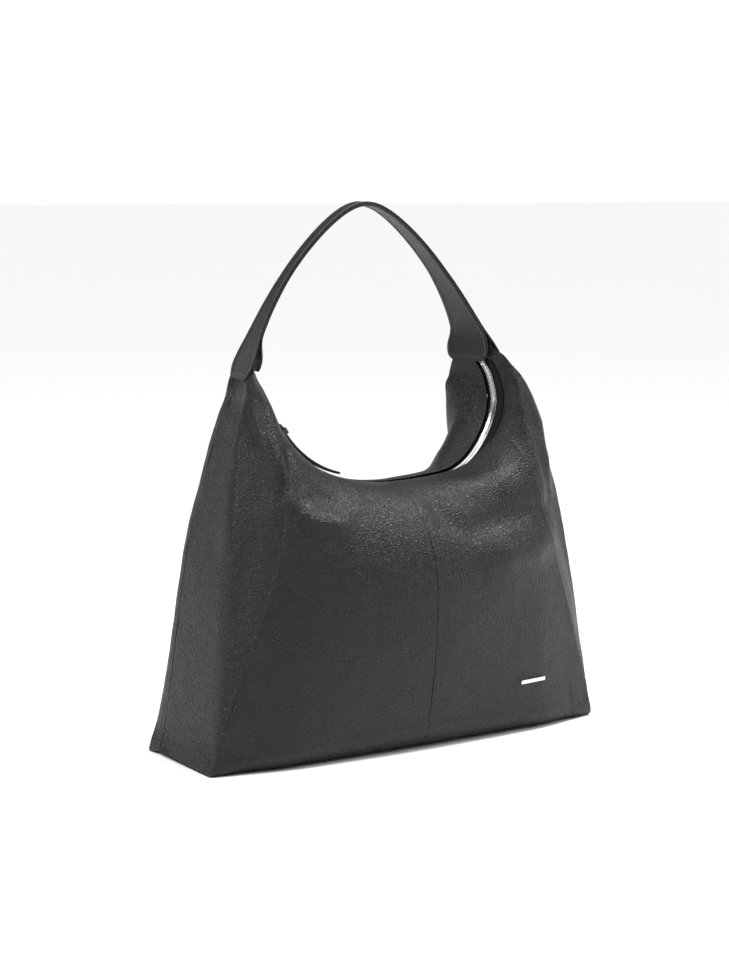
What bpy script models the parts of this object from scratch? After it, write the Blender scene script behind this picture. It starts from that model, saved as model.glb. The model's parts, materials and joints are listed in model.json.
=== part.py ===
"""Soft leather hobo bag: four gusset-free leather panels that roll up to a curved zip, a flat base,
and a two-layer shoulder strap whose flared flaps clasp the two horns of the bag.

Metres, +Z up, the front of the bag faces -Y, the origin is on the floor under the middle of the base.
The body is described by fan sections: each starts on the zip line and ends on the outline of the bag.
"""
from math import asin, atan2, cos, hypot, pi, radians, sin, tan

import bmesh
import bpy
from mathutils import Matrix, Vector

# ---- Driving dimensions -------------------------------------------------------------------------
LEATHER = 0.0020          # panel leather, folded and glued
LINING = 0.0007
LINING_INSET = 0.0044     # outside of the leather to the outside of the lining
LINING_BASE_Z = 0.0056
LINING_LAST_U = 0.89      # the lining stops below the strap's flaps
SEAM_GAP = 0.0004         # half of the gap between two touching pieces
TOUCH = 0.0004            # clearance between pieces that lie on each other

BASE_HALF_X = 0.219
TIP_Z = 0.374             # top of the horns, hidden between the strap's flaps
SWAY = 0.005              # the soft body leans this far to its right
MOUTH_Z = 0.2475          # lowest point of the zip line
MOUTH_SAG = 0.0045
LIP_GAP = 0.0075          # zip centre to the leather edge
CORNER_U = 0.62           # fan parameter that looks at the base corner

# half of the mouth: corner radius, widest x and x of the horn tip
MOUTH_LEFT = (0.108, 0.134, 0.1262)
MOUTH_RIGHT = (0.065, 0.127, 0.1222)

# x of the outline against height, from the base to the horn tip
OUTLINE = [(0.0, BASE_HALF_X), (0.02, 0.2135), (0.06, 0.209), (0.11, 0.203), (0.17, 0.195), (0.215, 0.188),
           (0.256, 0.178), (0.30, 0.164), (0.332, 0.147), (0.350, 0.1335), (0.362, 0.1285), (0.374, 0.1245)]

# Fan stations (u: 0 = middle of the bag, CORNER_U = base corner, 1 = horn tip) and the value there.
ZIP_Y = [(0, -0.018), (0.74, -0.018), (0.84, -0.0125), (1, 0.006)]
SEAM_Y = [(CORNER_U, 0.032), (0.75, 0.024), (0.93, 0.003), (1, 0.005)]
FRONT = {
    "belly_d": [(0, 0.10), (0.3, 0.10), (0.62, 0.11), (0.75, 0.055), (0.83, 0.030), (0.9, 0.012), (1, 0.003)],
    "belly_y": [(0, -0.108), (0.3, -0.101), (0.62, -0.078), (0.75, -0.056), (0.83, -0.042), (0.92, -0.022),
                (1, -0.010)],
    "edge_y": [(0, -0.094), (0.4, -0.088), (0.62, -0.068), (0.75, -0.054), (0.83, -0.040), (0.92, -0.021),
               (1, -0.010)],
    "edge_r": [(0, 0.028), (0.5, 0.020), (0.62, 0.007), (0.70, 0.022), (0.83, 0.014), (0.92, 0.006), (1, 0.002)],
    "roll": [(0, 0), (1, 0)],
    "base_y": -0.056,
}
BACK = {
    "belly_d": [(0, 0.10), (0.3, 0.10), (0.62, 0.07), (0.7, 0.01), (0.78, -0.002), (0.86, 0.006), (0.93, 0.006),
                (1, 0.002)],
    "belly_y": [(0, 0.068), (0.3, 0.068), (0.62, 0.054), (0.7, 0.048), (0.83, 0.047), (0.92, 0.042), (1, 0.034)],
    "edge_y": [(0, 0.066), (0.4, 0.064), (0.62, 0.053), (0.7, 0.044), (0.83, 0.041), (0.92, 0.038), (1, 0.033)],
    "edge_r": [(0, 0.020), (0.5, 0.018), (0.62, 0.008), (0.68, 0.022), (0.83, 0.018), (0.92, 0.010), (1, 0.002)],
    "roll": [(0, 0), (0.25, 0), (0.38, 0.006), (0.5, 0.018), (0.65, 0.022), (0.8, 0.006), (0.87, 0), (1, 0)],
    "base_y": 0.050,
}
HORN_PUFF = [(0.72, 0), (0.84, 0.004), (0.90, 0.012), (0.95, 0.013), (1, 0.002)]      # the right horn swells forward below the flap
SIDE_BULGE = 0.004
CORNER_HEIGHT = 0.03      # below this the walls stand straight off the base
HORN_TURN_LEFT = [(0.18, 0), (0.25, 5), (0.31, 7.5), (0.35, 13), (0.376, 14)]      # degrees against height
HORN_TURN_RIGHT = [(0.18, 0), (0.25, 6), (0.31, 10), (0.35, 10), (0.376, 8)]
TURN_AXIS_LEFT = [(0.325, -0.018), (0.352, 0.012)]
TURN_AXIS_RIGHT = [(0.25, -0.018), (0.30, -0.004), (0.352, 0.012)]

# strap: outer surface z = STRAP_TOP - (sqrt(x^2 + c^2) - c) - k x^4
STRAP_TOP = 0.511
STRAP_C = 0.036
STRAP_K = 145.0
STRAP_END_X = 0.139
STRAP_Y = 0.012
STRAP_SHIFT = -0.004
STRAP_LAYER = 0.0018
HANDLE_PIVOT_Z = 0.347
FOOTPRINT_SHIFT = 0.020   # the shapes are drawn about the seams; the finished bag stands centred on the origin
STRAP_INNER_END = 0.965    # the inner layer's flap ends higher than the outer one
STRAP_WIDTH = [(0.345, 0.0305), (0.360, 0.0315), (0.372, 0.0290), (0.389, 0.0225), (0.408, 0.0185), (0.430, 0.0155),
               (0.450, 0.0135), (0.520, 0.0130)]
STRAP_DEPTH_RIGHT = [(0.345, 0.0210), (0.362, 0.0155), (0.375, 0.0100), (0.388, 0.0055), (0.400, 0.0041),
                     (0.520, 0.0041)]
STRAP_DEPTH_LEFT = [(0.345, 0.0150), (0.362, 0.0120), (0.375, 0.0090), (0.388, 0.0055), (0.400, 0.0041),
                    (0.520, 0.0041)]
STRAP_TWIST = (13, -10, 9.5, 5)        # degrees: left end, right end, more at the top, more on the flanks
FLAP_CORNER_R = 0.013

# zip: depths are measured from the leather lip down into the bag
ZIP_END_LEFT, ZIP_END_RIGHT = 0.80, 0.92
TAPE_DEPTH, TAPE_THICK = 0.0036, 0.0007
TEETH_DEPTH, TEETH_THICK = 0.0032, 0.0016
TEETH_IN, TEETH_OUT = 0.0007, 0.0029
SLIDER_ANGLE = radians(64)        # where the slider stands on the left corner arc, from straight down
SLIDER_LENGTH, SLIDER_WIDTH = 0.011, 0.009
PULL_LENGTH, PULL_WIDTH, PULL_THICK = 0.085, 0.008, 0.0026
PULL_DEPTH = -0.0036              # middle of the pull above the lip line
PIVOT_DEPTH = 0.0002              # the ring turns under the slider's bridge
RING_R, RING_WIRE = 0.0033, 0.0006
RING_TILT = radians(33)

EMBLEM_POS = (0.1243, 0.052)      # x and z of the plain metal bar on the front right panel
EMBLEM_SIZE = (0.032, 0.0040, 0.0012)


# ---- Scene helpers ------------------------------------------------------------------------------
def clear_scene():
    for obj in list(bpy.data.objects):
        bpy.data.objects.remove(obj, do_unlink=True)


def new_collection(name):
    coll = bpy.data.collections.new(name)
    bpy.context.scene.collection.children.link(coll)
    return coll


def material(name, color, roughness, metallic=0.0):
    mat = bpy.data.materials.new(name)
    mat.use_nodes = True
    shader = mat.node_tree.nodes["Principled BSDF"]
    shader.inputs["Base Color"].default_value = (*color, 1.0)
    shader.inputs["Roughness"].default_value = roughness
    shader.inputs["Metallic"].default_value = metallic
    return mat


def add_object(name, mesh, mat, coll):
    obj = bpy.data.objects.new(name, mesh)
    coll.objects.link(obj)
    mesh.materials.clear()
    mesh.materials.append(mat)
    mesh.shade_smooth()
    mesh.set_sharp_from_angle(angle=radians(40))
    return obj


def table(stations, u):
    """Smooth value between stations: cubic ease with finite-difference slopes."""
    if u <= stations[0][0]:
        return stations[0][1]
    if u >= stations[-1][0]:
        return stations[-1][1]
    i = max(k for k in range(len(stations) - 1) if stations[k][0] <= u)

    def slope(k):
        if k <= 0 or k >= len(stations) - 1:
            return 0.0
        left = (stations[k][1] - stations[k - 1][1]) / (stations[k][0] - stations[k - 1][0])
        right = (stations[k + 1][1] - stations[k][1]) / (stations[k + 1][0] - stations[k][0])
        return 0.0 if left * right <= 0 else 2 * left * right / (left + right)

    (u0, v0), (u1, v1) = stations[i], stations[i + 1]
    h = u1 - u0
    t = (u - u0) / h
    return (v0 * (1 + 2 * t) * (1 - t) ** 2 + slope(i) * h * t * (1 - t) ** 2
            + v1 * t * t * (3 - 2 * t) + slope(i + 1) * h * t * t * (t - 1))


# ---- Shape of the bag ---------------------------------------------------------------------------
class Mouth:
    """One half of the zip line in the XZ plane: flat bottom arc, corner arc, then the inside of the horn."""

    def __init__(self, corner_r, side_x, tip_x):
        self.corner_r, self.side_x = corner_r, side_x
        self.cx = side_x - corner_r
        self.cz = MOUTH_Z + corner_r + MOUTH_SAG
        low = MOUTH_Z + corner_r
        self.flat_z = (low ** 2 - self.cx ** 2 - self.cz ** 2) / (2 * (low - self.cz))
        self.flat_r = self.flat_z - MOUTH_Z
        self.join = atan2(self.cx, self.flat_z - self.cz)
        rise, run = TIP_Z - self.cz, side_x - tip_x
        self.horn_r = (rise ** 2 + run ** 2) / (2 * run)
        self.s1 = self.flat_r * self.join
        self.s2 = self.s1 + corner_r * (pi / 2 - self.join)
        self.s3 = self.s2 + self.horn_r * asin(rise / self.horn_r)

    def at(self, s):
        if s <= self.s1:
            a = s / self.flat_r
            return Vector((self.flat_r * sin(a), self.flat_z - self.flat_r * cos(a)))
        if s <= self.s2:
            a = self.join + (s - self.s1) / self.corner_r
            return Vector((self.cx + self.corner_r * sin(a), self.cz - self.corner_r * cos(a)))
        b = (s - self.s2) / self.horn_r
        return Vector((self.side_x - self.horn_r * (1 - cos(b)), self.cz + self.horn_r * sin(b)))

    def at_angle(self, a, radius_step=0.0):
        """Point on the corner arc, a radians from straight down, moved towards the mouth's middle."""
        r = self.corner_r - radius_step
        return Vector((self.cx + r * sin(a), self.cz - r * cos(a)))


MOUTHS = {-1: Mouth(*MOUTH_LEFT), 1: Mouth(*MOUTH_RIGHT)}


def outline(u, side_x):
    if u <= CORNER_U:
        return Vector((BASE_HALF_X * u / CORNER_U, 0.0))
    z = TIP_Z * ((u - CORNER_U) / (1 - CORNER_U)) ** 0.85
    x = table(OUTLINE, z) + SWAY * side_x * sin(pi * min(z / 0.36, 1.0))
    if side_x < 0:
        x += 0.0055 * min(max((z - 0.30) / 0.04, 0.0), 1.0)
    return Vector((x, z))


def section(u, side_x, side_y, side_wall, inset=0.0, base_z=0.0, counts=(7, 5, 3, 3)):
    """Half section of the body: points from the zip lip over the belly and the edge to the seam.

    inset moves the whole section inwards; where the horn is slimmer than the walls need, it is scaled down.
    """
    shape = FRONT if side_y < 0 else BACK
    start = MOUTHS[side_x].at(u * MOUTHS[side_x].s3)
    end = outline(u, side_x)
    full = (end - start).length
    along = (end - start) / full
    inset = min(inset, 0.27 * full)
    shrink = (full - 2 * inset) / full
    length = full - inset
    lip = table(ZIP_Y, u) + side_y * LIP_GAP
    belly_d = inset + min(table(shape["belly_d"], u), 0.72 * full) * shrink
    puff = table(HORN_PUFF, u) if side_x > 0 > side_y else 0.0
    belly_y = table(shape["belly_y"], u) - puff - side_y * inset
    edge_y = table(shape["edge_y"], u) - puff - side_y * inset
    edge_r = min(table(shape["edge_r"], u), 0.9 * (full - belly_d), 0.45 * full)
    edge_r = max(edge_r - inset, 0.3 * edge_r)
    roll = table(shape["roll"], u)
    last_y = table(SEAM_Y, u) + side_y * SEAM_GAP if side_wall else shape["base_y"]
    edge_r = min(edge_r, 0.9 * abs(edge_y - last_y))
    shoulder, belly, edge, wall = counts
    points = []
    for i in range(shoulder):
        a = pi / 2 * i / (shoulder - 1)
        d = inset + (belly_d - inset) * (1 - cos(a)) - roll * sin(2 * a) * (1 - 0.4 * sin(a))
        points.append((d, lip + (belly_y - lip) * sin(a)))
    edge_d = length - edge_r
    for i in range(1, belly + 1):
        w = i / belly
        points.append((belly_d + (edge_d - belly_d) * w, belly_y + (edge_y - belly_y) * w * w))
    for i in range(1, edge + 1):
        a = pi / 2 * i / edge
        points.append((edge_d + edge_r * sin(a), edge_y - side_y * edge_r * (1 - cos(a))))
    first_y = edge_y - side_y * edge_r
    bulge = SIDE_BULGE * sin(pi * (u - CORNER_U) / (1 - CORNER_U)) if side_wall else 0.0
    for i in range(1, wall + 1):
        w = i / wall
        points.append((length + bulge * (1 - (1 - w) ** 2), first_y + (last_y - first_y) * w))
    return [body_point(side_x, start + along * d, y, inset, base_z) for d, y in points]


def horn_turn(side_x, z):
    """How far the horn is turned about the vertical, so that it lies flat between the strap's flaps."""
    return radians(table(HORN_TURN_LEFT, z)) if side_x < 0 else -radians(table(HORN_TURN_RIGHT, z))


def body_point(side_x, spot, y, inset=0.0, base_z=0.0):
    z = max(spot.y, base_z)
    x = spot.x
    if z < CORNER_HEIGHT:
        x = min(x, table(OUTLINE, z) + SWAY * side_x * sin(pi * z / 0.36) - inset)
    axis_y = table(TURN_AXIS_LEFT if side_x < 0 else TURN_AXIS_RIGHT, z)
    return Vector((side_x * x + tan(horn_turn(side_x, z)) * (y - axis_y), y, z))


def strap_frame(t):
    """Strap station, t from -1 (left flap end) to 1: point on the outer face, inward normal and width direction."""
    x = t * STRAP_END_X
    z = STRAP_TOP - (hypot(x, STRAP_C) - STRAP_C) - STRAP_K * x ** 4
    slope = -x / hypot(x, STRAP_C) - 4 * STRAP_K * x ** 3
    inward = Vector((slope, 0, -1)).normalized()
    left, right, top, flank = STRAP_TWIST
    twist = radians((left + right + (right - left) * t) / 2 + (top - flank * t) * (1 - t * t))
    across = Vector((sin(twist), cos(twist), 0))
    shift = STRAP_SHIFT * (1 if t < 0 else 1 - t * t)
    return Vector((x + shift, STRAP_Y, z)), inward, across


# ---- Mesh builders ------------------------------------------------------------------------------
def sheet_mesh(name, rows, outward_hint):
    """Open surface through rows of points, its faces turned so that they look along outward_hint(face centre)."""
    bm = bmesh.new()
    grid = [[bm.verts.new(p) for p in row] for row in rows]
    for i in range(len(rows) - 1):
        for j in range(len(rows[0]) - 1):
            bm.faces.new((grid[i][j], grid[i + 1][j], grid[i + 1][j + 1], grid[i][j + 1]))
    bm.normal_update()
    score = sum(f.normal.dot(outward_hint(f.calc_center_median())) * f.calc_area() for f in bm.faces)
    if score < 0:
        bmesh.ops.reverse_faces(bm, faces=bm.faces)
    mesh = bpy.data.meshes.new(name)
    bm.to_mesh(mesh)
    bm.free()
    return mesh


def shell_mesh(name, outer, inner):
    """Closed wall between two grids of points of the same size."""
    bm = bmesh.new()
    last_i, last_j = len(outer) - 1, len(outer[0]) - 1
    out = [[bm.verts.new(p) for p in row] for row in outer]
    inn = [[bm.verts.new(p) for p in row] for row in inner]
    for i in range(last_i):
        for j in range(last_j):
            bm.faces.new((out[i][j], out[i + 1][j], out[i + 1][j + 1], out[i][j + 1]))
            bm.faces.new((inn[i][j], inn[i][j + 1], inn[i + 1][j + 1], inn[i + 1][j]))
    for i in range(last_i):
        bm.faces.new((out[i][0], inn[i][0], inn[i + 1][0], out[i + 1][0]))
        bm.faces.new((out[i][last_j], out[i + 1][last_j], inn[i + 1][last_j], inn[i][last_j]))
    for j in range(last_j):
        bm.faces.new((out[0][j], out[0][j + 1], inn[0][j + 1], inn[0][j]))
        bm.faces.new((out[last_i][j], inn[last_i][j], inn[last_i][j + 1], out[last_i][j + 1]))
    if bm.calc_volume(signed=True) < 0:
        bmesh.ops.reverse_faces(bm, faces=bm.faces)
    mesh = bpy.data.meshes.new(name)
    bm.to_mesh(mesh)
    bm.free()
    return mesh


def thicken(obj, thickness):
    """Gives an open sheet its thickness, inwards from its outward face."""
    mod = obj.modifiers.new("Thickness", "SOLIDIFY")
    mod.thickness = thickness
    mod.offset = -1
    mod.use_even_offset = True
    mod.use_quality_normals = True
    return obj


def box(name, size, mat, coll, matrix):
    bm = bmesh.new()
    bmesh.ops.create_cube(bm, size=1.0)
    bmesh.ops.scale(bm, vec=size, verts=bm.verts)
    mesh = bpy.data.meshes.new(name)
    bm.to_mesh(mesh)
    bm.free()
    obj = add_object(name, mesh, mat, coll)
    obj.matrix_world = matrix
    return obj


def bevel(obj, width, segments=2):
    mod = obj.modifiers.new("Bevel", "BEVEL")
    mod.width = width
    mod.segments = segments
    mod.limit_method = "ANGLE"
    return obj


def boolean(obj, cutter, operation):
    mod = obj.modifiers.new(operation.title(), "BOOLEAN")
    mod.operation = operation
    mod.solver = "EXACT"
    mod.object = cutter
    cutter.hide_render = True
    cutter.display_type = "WIRE"
    return obj


def fan_rows():
    """Fan parameters of the rows of one panel, with a flag that says whether the row ends on the side wall."""
    base = [(CORNER_U * t, False) for t in (0, 0.12, 0.26, 0.42, 0.58, 0.73, 0.86, 0.95, 1)]
    wall = [(CORNER_U + (1 - CORNER_U) * t, True) for t in (0.01, 0.06, 0.13, 0.21, 0.3, 0.4, 0.5, 0.6, 0.7, 0.8, 0.9, 1)]
    return base + wall


# ---- Pieces -------------------------------------------------------------------------------------
def leather_panel(name, side_x, side_y, mat, coll):
    grids = []
    for inset, base_z in ((0.0, 0.0004), (LEATHER, 0.0004)):
        rows = [section(u, side_x, side_y, wall, inset, base_z) for u, wall in fan_rows()]
        for p in rows[0]:
            p.x = side_x * SEAM_GAP
        grids.append(rows)
    return add_object(name, shell_mesh(name, *grids), mat, coll)


def lining_panel(name, side_y, mat, coll):
    """Front or back lining, across the whole bag, from below the zip down to the base."""
    stations = [(u, wall) for u, wall in fan_rows() if u < LINING_LAST_U]
    grids = []
    for inset, base_z in ((LINING_INSET, LINING_BASE_Z), (LINING_INSET + LINING, LINING_BASE_Z + LINING)):
        rows = []
        for side_x, order in ((-1, stations[::-1]), (1, stations[1:])):
            for u, wall in order:
                row = section(u, side_x, side_y, wall, inset, base_z)
                if not wall:
                    edge = row[-4]
                    row[-3:] = [Vector((edge.x, edge.y * (1 - k / 3) + side_y * SEAM_GAP * k / 3, base_z))
                                for k in (1, 2, 3)]
                rows.append(row[1:])
        grids.append(rows)
    return add_object(name, shell_mesh(name, *grids), mat, coll)


def strap_layer(name, first_depth, end_t, mat, coll, rows=44):
    """One leather layer of the strap; first_depth(z, side) is how far its outer face lies inside the strap's."""
    grid = []
    for i in range(rows + 1):
        t = end_t * sin(1.2 * (2 * i / rows - 1)) / sin(1.2)
        point, inward, across = strap_frame(t)
        half = table(STRAP_WIDTH, point.z)
        end = (end_t - abs(t)) * STRAP_END_X * 1.9
        if end < FLAP_CORNER_R:
            half -= FLAP_CORNER_R - (FLAP_CORNER_R ** 2 - (FLAP_CORNER_R - end) ** 2) ** 0.5
        top = point + inward * first_depth(point.z, -1 if t < 0 else 1)
        grid.append([top + across * half * k for k in (-1, -0.5, 0, 0.5, 1)])
    centre = Vector((0, STRAP_Y, 0.33))
    mesh = sheet_mesh(name, grid, lambda p: p - centre)
    return thicken(add_object(name, mesh, mat, coll), STRAP_LAYER)


def inner_layer_depth(z, side):
    return table(STRAP_DEPTH_RIGHT if side > 0 else STRAP_DEPTH_LEFT, z) - STRAP_LAYER


def mouth_station(side_x, s):
    """Point on the lip line, with the direction down into the bag, for a signed side and arc length."""
    mouth = MOUTHS[side_x]
    here, ahead = mouth.at(s), mouth.at(s + 0.0005)
    along = (ahead - here).normalized()
    down = Vector((along.y, -along.x))
    return here, down


def zip_strip(name, side_y, near, far, depth, thick, mat, coll, far_horn=None):
    """Strip that follows the zip from horn to horn, between two distances from the zip centre."""
    rows = []
    for side_x in (-1, 1):
        mouth = MOUTHS[side_x]
        last_u = ZIP_END_LEFT if side_x < 0 else ZIP_END_RIGHT
        steps = [last_u * i / 26 for i in range(27)]
        part = []
        for u in steps:
            here, down = mouth_station(side_x, u * mouth.s3)
            outer = far
            if far_horn is not None:
                outer = far + (far_horn - far) * min(max((u - 0.35) / 0.2, 0), 1)
            y = table(ZIP_Y, u)
            p = here + down * depth
            part.append([body_point(side_x, p, y + side_y * w) for w in (near, outer)])
        rows = part[::-1] if side_x < 0 else rows + part[1:]
    mesh = sheet_mesh(name, rows, lambda p: Vector((0, 0, 0.36)) - p)
    return thicken(add_object(name, mesh, mat, coll), thick)


def slider_matrix(angle, depth):
    """Frame on the left corner arc: X along the zip (down it), Y across, Z out of the bag."""
    mouth = MOUTHS[-1]
    spot = mouth.at_angle(angle, -depth)
    along = Vector((cos(angle), 0, -sin(angle)))
    out = Vector((sin(angle), 0, cos(angle)))
    across = out.cross(along)
    rot = Matrix((along, across, out)).transposed().to_4x4()
    return Matrix.Translation((-spot.x, table(ZIP_Y, 0.5), spot.y)) @ rot


def zip_slider(mats, coll, cutters):
    """Top and bottom plates joined by the post that runs between the teeth, with a bridge for the ring."""
    plate = (SLIDER_LENGTH, SLIDER_WIDTH, 0.0014)
    slider = box("zip_slider", plate, mats["black_metal"], coll, slider_matrix(SLIDER_ANGLE, TEETH_DEPTH - 0.0013))
    bevel(slider, 0.0004, 1)
    parts = [
        ((SLIDER_LENGTH * 0.9, SLIDER_WIDTH, 0.0014), 0.0029, 0.0),
        ((0.0034, 0.0008, 0.0046), 0.0008, 0.0),
        ((0.0012, 0.0026, 0.0030), -0.0031, -0.0036),
        ((0.0012, 0.0026, 0.0030), -0.0031, 0.0036),
        ((0.0084, 0.0026, 0.0010), -0.0047, 0.0),
    ]
    for i, (size, depth, shift) in enumerate(parts):
        piece = box(f"slider_piece_{i}", size, mats["black_metal"], cutters,
                    slider_matrix(SLIDER_ANGLE, TEETH_DEPTH + depth) @ Matrix.Translation((shift, 0, 0)))
        boolean(slider, piece, "UNION")
    return slider


def pull_ring(mats, coll):
    """Round wire ring through the slider's bridge."""
    bpy.ops.mesh.primitive_torus_add(major_radius=RING_R, minor_radius=RING_WIRE, major_segments=20,
                                     minor_segments=8)
    ring = bpy.context.active_object
    ring.name = "pull_ring"
    for other in list(ring.users_collection):
        other.objects.unlink(ring)
    coll.objects.link(ring)
    ring.data.materials.append(mats["black_metal"])
    ring.data.shade_smooth()
    tilt = Matrix.Rotation(-RING_TILT, 4, "Y")
    ring.matrix_world = slider_matrix(SLIDER_ANGLE, PIVOT_DEPTH) @ tilt @ Matrix.Translation((RING_R, 0, 0))
    return ring


def leather_pull(mats, coll):
    """Curved two-ply leather tab that lies along the mouth, with the keeper that holds it to the ring."""
    mouth = MOUTHS[-1]
    radius = mouth.corner_r + PULL_DEPTH
    start = SLIDER_ANGLE - 0.0068 / radius
    rows = []
    steps = 22
    for i in range(steps + 1):
        a = start - PULL_LENGTH / radius * i / steps
        spot = mouth.at_angle(a, -PULL_DEPTH + PULL_THICK / 2)
        taper = PULL_WIDTH / 2 * min(1.0, 0.75 + 0.5 * min(i, steps - i) / 2)
        rows.append([Vector((-spot.x, table(ZIP_Y, 0.5) + taper * k, spot.y)) for k in (-1, 0, 1)])
    mesh = sheet_mesh("leather_pull", rows, lambda p: Vector((0, 0, 0.36)) - p)
    pull = thicken(add_object("leather_pull", mesh, mats["leather_dark"], coll), PULL_THICK)
    return pull


def pull_keeper(mats, coll, cutters):
    """Small square metal loop that joins the ring to the leather pull."""
    mouth = MOUTHS[-1]
    radius = mouth.corner_r + PULL_DEPTH
    angle = SLIDER_ANGLE - 0.0145 / radius
    frame = slider_matrix(angle, PULL_DEPTH)
    keeper = box("pull_keeper", (0.006, PULL_WIDTH + 0.0030, PULL_THICK + 0.0028), mats["black_metal"], coll, frame)
    hole = box("keeper_hole", (0.008, PULL_WIDTH + 0.0008, PULL_THICK + 0.0008), mats["black_metal"], cutters, frame)
    return boolean(keeper, hole, "DIFFERENCE")


def zip_stop(name, side_x, u, mats, coll):
    """Metal clip across both rows of teeth at one end of the zip, under the strap's inner flap."""
    mouth = MOUTHS[side_x]
    here, down = mouth_station(side_x, u * mouth.s3)
    spot = here + down * 0.0012
    out = Vector((-side_x * down.x, 0, -down.y))
    along = Vector((out.z, 0, -out.x))
    rot = Matrix((along, out.cross(along), out)).transposed().to_4x4()
    matrix = Matrix.Translation((side_x * spot.x, table(ZIP_Y, u), spot.y)) @ rot
    return bevel(box(name, (0.0022, 0.0062, 0.0012), mats["silver"], coll, matrix), 0.0003, 1)


def emblem(mats, coll):
    """Plain polished bar, low on the front right panel, lying along the leather."""
    x, z = EMBLEM_POS
    panel = bpy.data.objects["front_right_panel"]
    bpy.context.view_layer.update()

    def surface(x_at, z_at):
        return panel.ray_cast(Vector((x_at, -0.5, z_at)), Vector((0, 1, 0)))[1]

    here = surface(x, z)
    right = (surface(x + 0.016, z) - surface(x - 0.016, z)).normalized()
    out = right.cross((surface(x, z + 0.01) - surface(x, z - 0.01)).normalized()).normalized()
    up = out.cross(right)
    rot = Matrix((right, up, out)).transposed().to_4x4()
    place = Matrix.Translation(here + out * (EMBLEM_SIZE[2] / 2 + 0.0005)) @ rot
    return bevel(box("emblem_bar", EMBLEM_SIZE, mats["silver"], coll, place), 0.0004, 2)


def base_pieces(mats, coll):
    base = box("base_panel", (2 * (BASE_HALF_X - 0.0034), 0.1046, LEATHER), mats["leather"], coll,
               Matrix.Translation((0, -0.003, LEATHER / 2)))
    board = box("base_board", (0.412, 0.104, 0.0018), mats["board"], coll, Matrix.Translation((0, -0.002, 0.0038)))
    for obj in (base, board):
        bevel(obj, 0.0005, 1)


def pocket_pieces(mats, coll, cutters):
    """Zip pocket hanging on the back lining: flat textile pouch, its short zip and a metal slider with a tab."""
    y_front, depth = 0.036, 0.016
    low, high, half = 0.050, 0.185, 0.085
    pouch = box("pocket_pouch", (2 * half, depth, high - low), mats["lining"], coll,
                Matrix.Translation((0, y_front + depth / 2, (low + high) / 2)))
    hollow = box("pouch_hollow", (2 * half - 0.0016, depth - 0.0016, high - low - 0.0016), mats["lining"], cutters,
                 Matrix.Translation((0, y_front + depth / 2, (low + high) / 2)))
    slot = box("pouch_slot", (0.156, 0.006, 0.0124), mats["lining"], cutters,
               Matrix.Translation((0, y_front, high - 0.014)))
    boolean(pouch, hollow, "DIFFERENCE")
    boolean(pouch, slot, "DIFFERENCE")
    z_zip = high - 0.014
    for name, side in (("pocket_tape_upper", 1), ("pocket_tape_lower", -1)):
        box(name, (0.155, 0.0006, 0.0040), mats["tape"], coll,
            Matrix.Translation((0, y_front + 0.0003, z_zip + side * 0.0040)))
    for name, side in (("pocket_teeth_upper", 1), ("pocket_teeth_lower", -1)):
        box(name, (0.155, 0.0012, 0.0012), mats["silver"], coll,
            Matrix.Translation((0, y_front + 0.0003, z_zip + side * 0.0012)))
    slider = box("pocket_slider", (0.008, 0.0012, 0.007), mats["silver"], coll,
                 Matrix.Translation((-0.070, y_front - 0.0013, z_zip)))
    for i, (size, dy) in enumerate((((0.003, 0.0034, 0.0008), 0.0003), ((0.008, 0.0012, 0.007), 0.0019),
                                    ((0.002, 0.0020, 0.0030), -0.0025))):
        piece = box(f"pocket_slider_piece_{i}", size, mats["silver"], cutters,
                    Matrix.Translation((-0.070, y_front + dy, z_zip)))
        boolean(slider, piece, "UNION")
    tab = box("pocket_pull_tab", (0.006, 0.0012, 0.026), mats["silver"], coll,
              Matrix.Translation((-0.070, y_front - 0.0048, z_zip - 0.012)))
    bevel(tab, 0.0004, 1)


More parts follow.
